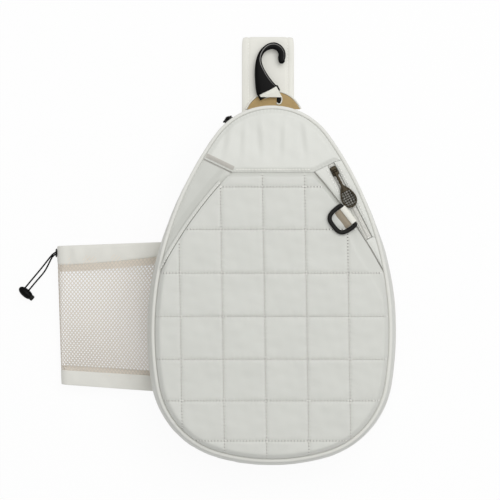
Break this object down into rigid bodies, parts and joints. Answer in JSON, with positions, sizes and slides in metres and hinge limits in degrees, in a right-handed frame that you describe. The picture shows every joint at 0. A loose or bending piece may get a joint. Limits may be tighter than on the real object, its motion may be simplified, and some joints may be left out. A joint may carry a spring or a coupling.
{
  "type": "racket backpack",
  "caption": "Egg-shaped racket backpack with a quilted front pocket, a small zip pocket, a net ball pocket with a drawcord, a fence hook and a wide sling strap; the front opens on a zip.",
  "frame": {"origin": "on the rest plane under the back, on the bag's centre line, level with its widest line", "axes": "+Y to the bag's top, +Z out of its front, +X to its right as seen from the front; the bag lies on its back"},
  "size_m": [0.4667, 0.5279, 0.1106],
  "materials": {
    "cream_cloth": "smooth coated cloth",
    "satin_cloth": "smooth satin cloth",
    "pad_cloth": "padded knit cloth",
    "net_cloth": "open net",
    "webbing": "woven webbing and binding",
    "strap_cloth": "padded coated strap",
    "tan_cloth": "tan canvas",
    "zip_tape": "woven zip tape",
    "black_cord": "braided cord",
    "black_plastic": "moulded, glossy",
    "dark_plastic": "moulded, matt",
    "gunmetal": "plated, satin",
    "steel": "plain spring wire"
  },
  "bodies": {
    "back_shell": {"back_panel": "cream_cloth", "back_pad_left": "pad_cloth", "back_pad_right": "pad_cloth", "back_gusset": "cream_cloth", "back_piping": "webbing", "main_zip_tape_back": "zip_tape", "main_zip_coil_back": "zip_tape", "hinge_gusset": "cream_cloth", "racket_sleeve": "satin_cloth", "shoulder_strap": "strap_cloth", "strap_webbing": "webbing", "strap_wing": "cream_cloth", "hook_tab": "tan_cloth", "hook_tab_binding": "webbing", "hook_loop": "webbing", "pocket_net": "net_cloth", "pocket_back": "net_cloth", "pocket_hem": "cream_cloth", "pocket_hem_facing": "satin_cloth", "pocket_base": "cream_cloth", "pocket_base_end": "cream_cloth", "eyelet": "black_plastic", "drawcord_hem_front": "black_cord", "drawcord_hem_back": "black_cord", "drawcord_strand_a": "black_cord", "drawcord_strand_b": "black_cord"},
    "front_shell": {"front_panel": "cream_cloth", "front_gusset": "cream_cloth", "front_piping": "webbing", "main_zip_tape_front": "zip_tape", "main_zip_coil_front": "zip_tape", "quilted_panel": "cream_cloth", "top_panel": "satin_cloth", "slash_panel": "satin_cloth", "slash_welt": "cream_cloth", "zip_placket": "satin_cloth", "zip_outer_strip": "satin_cloth", "front_zip_tape": "zip_tape", "front_zip_coil": "zip_tape", "front_zip_stop": "gunmetal", "d_ring_tab": "webbing"},
    "front_slider": {"front_slider": "gunmetal"},
    "front_pull": {"front_pull": "gunmetal"},
    "d_ring": {"d_ring": "black_plastic"},
    "hook": {"hook": "black_plastic"},
    "main_slider": {"main_slider": "gunmetal"},
    "main_pull": {"main_pull": "dark_plastic"},
    "strap_slider": {"strap_slider": "black_plastic"},
    "cord_lock": {"cord_lock": "black_plastic", "cord_lock_spring": "steel"},
    "cord_lock_button": {"cord_lock_button": "dark_plastic"}
  },
  "joints": [
    {"name": "front_open", "type": "hinge", "parent": "back_shell", "child": "front_shell", "pos_m": [0, -0.164, 0.0519], "axis": [1, 0, 0], "range_deg": [0, 85], "deforming": ["hinge_gusset"]},
    {"name": "hook_swing", "type": "hinge", "parent": "back_shell", "child": "hook", "pos_m": [-0.0024, 0.2927, 0.0187], "axis": [0.8829, 0.4695, 0], "range_deg": [0, 85]},
    {"name": "main_zip_travel", "type": "hinge", "parent": "back_shell", "child": "main_slider", "pos_m": [0, 0.1876, 0.0519], "axis": [0, 0, 1], "range_deg": [-86, 12]},
    {"name": "main_pull_swing", "type": "hinge", "parent": "main_slider", "child": "main_pull", "pos_m": [-0.05428, 0.25964, 0.0519], "axis": [0.7986, 0.6018, 0], "range_deg": [0, 150]},
    {"name": "front_zip_travel", "type": "slide", "parent": "front_shell", "child": "front_slider", "axis": [0.458, -0.8889, 0], "range_m": [0, 0.081]},
    {"name": "front_pull_swing", "type": "hinge", "parent": "front_slider", "child": "front_pull", "pos_m": [0.07497, 0.19311, 0.099], "axis": [-0.8889, -0.458, 0], "range_deg": [0, 100]},
    {"name": "d_ring_swing", "type": "hinge", "parent": "front_shell", "child": "d_ring", "pos_m": [0.09065, 0.14007, 0.10625], "axis": [-0.6148, 0.7887, 0], "range_deg": [0, 110]},
    {"name": "strap_slider_travel", "type": "slide", "parent": "back_shell", "child": "strap_slider", "axis": [0, 1, 0], "range_m": [-0.015, 0.015]},
    {"name": "cord_lock_travel", "type": "slide", "parent": "back_shell", "child": "cord_lock", "axis": [0.6402, 0.7682, 0], "range_m": [0, 0.025]},
    {"name": "cord_lock_press", "type": "slide", "parent": "cord_lock", "child": "cord_lock_button", "axis": [-0.7682, 0.6402, 0], "range_m": [0, 0.002], "stiffness_N_per_m": 300, "deforming": ["cord_lock_spring"]}
  ]
}
